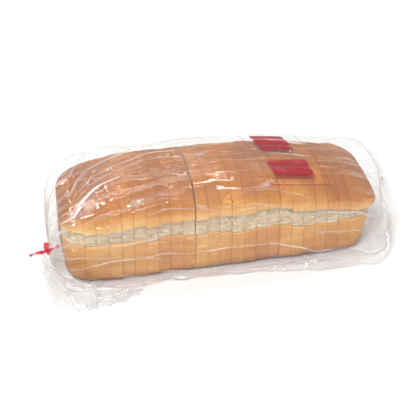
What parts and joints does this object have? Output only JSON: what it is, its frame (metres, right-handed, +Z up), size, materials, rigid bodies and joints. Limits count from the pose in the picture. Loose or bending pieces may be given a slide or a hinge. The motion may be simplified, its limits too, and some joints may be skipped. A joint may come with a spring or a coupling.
{
  "type": "sliced bread loaf in a tied film bag",
  "caption": "Sliced white tin loaf with two crust heels, standing on its long flat base inside a clear film bag gathered and closed at one end with a twist tie.",
  "frame": {"origin": "on the surface the bag stands on, under the middle of the cut slices", "axes": "+X along the loaf from the bag's tied neck towards its sealed end, +Y towards the loaf's back, +Z up"},
  "size_m": [0.365, 0.151, 0.1029],
  "materials": {
    "bread": "baked crust, golden brown, with pale open crumb on the cut faces",
    "film": "clear thin polythene film, wrinkled, with a plain red printed panel",
    "tie": "red coated paper strip over wire"
  },
  "bodies": {
    "root": {"heel_neck_end": "bread", "slice_01": "bread", "slice_02": "bread", "slice_03": "bread", "slice_04": "bread", "slice_05": "bread", "slice_06": "bread", "slice_07": "bread", "slice_08": "bread", "slice_09": "bread", "slice_10": "bread", "slice_11": "bread", "slice_12": "bread", "slice_13": "bread", "slice_14": "bread", "slice_15": "bread", "slice_16": "bread", "slice_17": "bread", "slice_18": "bread", "slice_19": "bread", "slice_20": "bread", "slice_21": "bread", "slice_22": "bread", "heel_far_end": "bread", "bag": "film", "twist_tie": "tie"}
  },
  "joints": []
}
